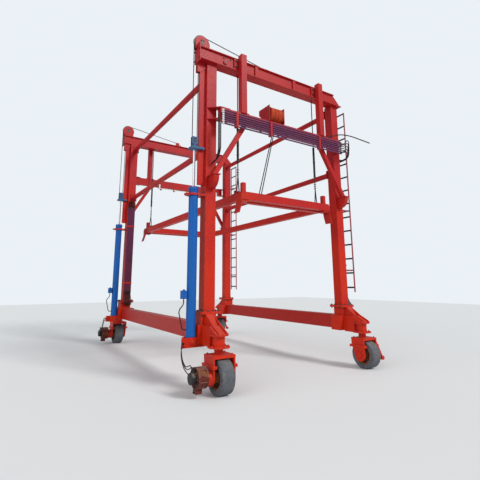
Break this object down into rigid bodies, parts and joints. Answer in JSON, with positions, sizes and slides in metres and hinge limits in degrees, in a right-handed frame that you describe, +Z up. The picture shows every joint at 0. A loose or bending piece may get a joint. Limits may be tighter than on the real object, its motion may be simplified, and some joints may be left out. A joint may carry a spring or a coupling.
{
  "type": "rubber-tyred gantry crane",
  "caption": "Mobile gantry crane: box columns on steered wheels, transverse beams, hydraulic hoist cylinders with wire ropes and a spreader that lifts a container between the portals.",
  "frame": {"origin": "on the ground under the middle of the crane", "axes": "+Z up, X across the crane with the hoist cylinders at -X, front portal at -Y"},
  "size_m": [4.84, 7.1598, 7.0309],
  "materials": {
    "red_paint": "weathered red-orange enamel",
    "cylinder_paint": "blue enamel",
    "pipe_paint": "dull purple-red paint",
    "rusty_motor": "worn red paint with rust",
    "tyre": "grey solid rubber",
    "wheel_rim": "brown primer with dirt",
    "rod_chrome": "polished chrome",
    "wire_rope": "greased wire rope",
    "black_hose": "black rubber",
    "sheave_steel": "dark greased iron",
    "drum_paint": "orange paint",
    "rod_steel": "bare steel"
  },
  "bodies": {
    "gantry": {"columns": "red_paint", "top_beam_front": "red_paint", "top_beam_rear": "red_paint", "haunch_plates": "red_paint", "lower_beam_front": "red_paint", "lower_beam_rear": "red_paint", "posts": "red_paint", "knee_braces": "red_paint", "side_tubes": "red_paint", "ground_beams": "red_paint", "pedestals": "red_paint", "guide_rails": "red_paint", "hoist_cylinders": "cylinder_paint", "cylinder_saddles": "red_paint", "cylinder_clamps": "red_paint", "sheave_cheeks": "red_paint", "end_sheaves": "sheave_steel", "rope_rollers": "red_paint", "pull_ropes": "wire_rope", "front_pipes": "pipe_paint", "pipe_clamps": "red_paint", "column_pipes": "pipe_paint", "ladders": "red_paint", "reel_stand": "red_paint", "loose_cable": "black_hose", "rear_hanger_rod": "rod_steel", "beam_hoses": "black_hose", "column_hoses": "black_hose", "feed_hoses": "black_hose", "cylinder_valves": "cylinder_paint"},
    "spreader": {"spreader_frame": "red_paint", "spreader_corner_blocks": "red_paint", "spreader_corner_guides": "red_paint", "spreader_lock_pegs": "red_paint", "slings": "wire_rope", "drop_ropes": "wire_rope", "reel_hoses": "black_hose"},
    "hose_reel": {"reel_drum": "drum_paint"},
    "lift_rod_front": {"piston_rod_front": "rod_chrome", "sheave_block_front": "cylinder_paint", "block_sheave_front": "sheave_steel", "hoist_falls_front": "wire_rope"},
    "lift_rod_rear": {"piston_rod_rear": "rod_chrome", "sheave_block_rear": "cylinder_paint", "block_sheave_rear": "sheave_steel", "hoist_falls_rear": "wire_rope"},
    "swivel_front_left": {"fork_front_left": "red_paint", "drive_motor_front_left": "rusty_motor"},
    "wheel_front_left": {"tyre_front_left": "tyre", "rim_front_left": "wheel_rim"},
    "swivel_front_right": {"fork_front_right": "red_paint"},
    "wheel_front_right": {"tyre_front_right": "tyre", "rim_front_right": "wheel_rim"},
    "swivel_rear_left": {"fork_rear_left": "red_paint", "drive_motor_rear_left": "rusty_motor"},
    "wheel_rear_left": {"tyre_rear_left": "tyre", "rim_rear_left": "wheel_rim"},
    "swivel_rear_right": {"fork_rear_right": "red_paint"},
    "wheel_rear_right": {"tyre_rear_right": "tyre", "rim_rear_right": "wheel_rim"}
  },
  "joints": [
    {"name": "spreader_lift", "type": "slide", "parent": "gantry", "child": "spreader", "axis": [0, 0, 1], "range_m": [-2.4, 0.95], "deforming": ["drop_ropes", "reel_hoses"]},
    {"name": "hose_reel_spin", "type": "hinge", "parent": "gantry", "child": "hose_reel", "pos_m": [-0.272, -2.898, 5.545], "axis": [1, 0, 0], "continuous": true},
    {"name": "lift_rod_front_slide", "type": "slide", "parent": "gantry", "child": "lift_rod_front", "axis": [0, 0, 1], "range_m": [-0.475, 1.2], "deforming": ["hoist_falls_front"]},
    {"name": "lift_rod_rear_slide", "type": "slide", "parent": "gantry", "child": "lift_rod_rear", "axis": [0, 0, 1], "range_m": [-0.475, 1.2], "deforming": ["hoist_falls_rear"]},
    {"name": "steer_front_left", "type": "hinge", "parent": "gantry", "child": "swivel_front_left", "pos_m": [-1.845, -3.215, 0.64], "axis": [0, 0, 1], "range_deg": [-90, 90]},
    {"name": "roll_front_left", "type": "hinge", "parent": "swivel_front_left", "child": "wheel_front_left", "pos_m": [-1.845, -3.29, 0.29], "axis": [1, 0, 0], "continuous": true},
    {"name": "steer_front_right", "type": "hinge", "parent": "gantry", "child": "swivel_front_right", "pos_m": [1.845, -3.215, 0.64], "axis": [0, 0, 1], "range_deg": [-90, 90]},
    {"name": "roll_front_right", "type": "hinge", "parent": "swivel_front_right", "child": "wheel_front_right", "pos_m": [1.845, -3.29, 0.29], "axis": [1, 0, 0], "continuous": true},
    {"name": "steer_rear_left", "type": "hinge", "parent": "gantry", "child": "swivel_rear_left", "pos_m": [-1.845, 3.215, 0.64], "axis": [0, 0, 1], "range_deg": [-90, 90]},
    {"name": "roll_rear_left", "type": "hinge", "parent": "swivel_rear_left", "child": "wheel_rear_left", "pos_m": [-1.845, 3.29, 0.29], "axis": [1, 0, 0], "continuous": true},
    {"name": "steer_rear_right", "type": "hinge", "parent": "gantry", "child": "swivel_rear_right", "pos_m": [1.845, 3.215, 0.64], "axis": [0, 0, 1], "range_deg": [-90, 90]},
    {"name": "roll_rear_right", "type": "hinge", "parent": "swivel_rear_right", "child": "wheel_rear_right", "pos_m": [1.845, 3.29, 0.29], "axis": [1, 0, 0], "continuous": true}
  ],
  "couplings": [
    {"joint": "lift_rod_front_slide", "follows": "spreader_lift", "ratio": -0.5},
    {"joint": "lift_rod_rear_slide", "follows": "spreader_lift", "ratio": -0.5}
  ]
}
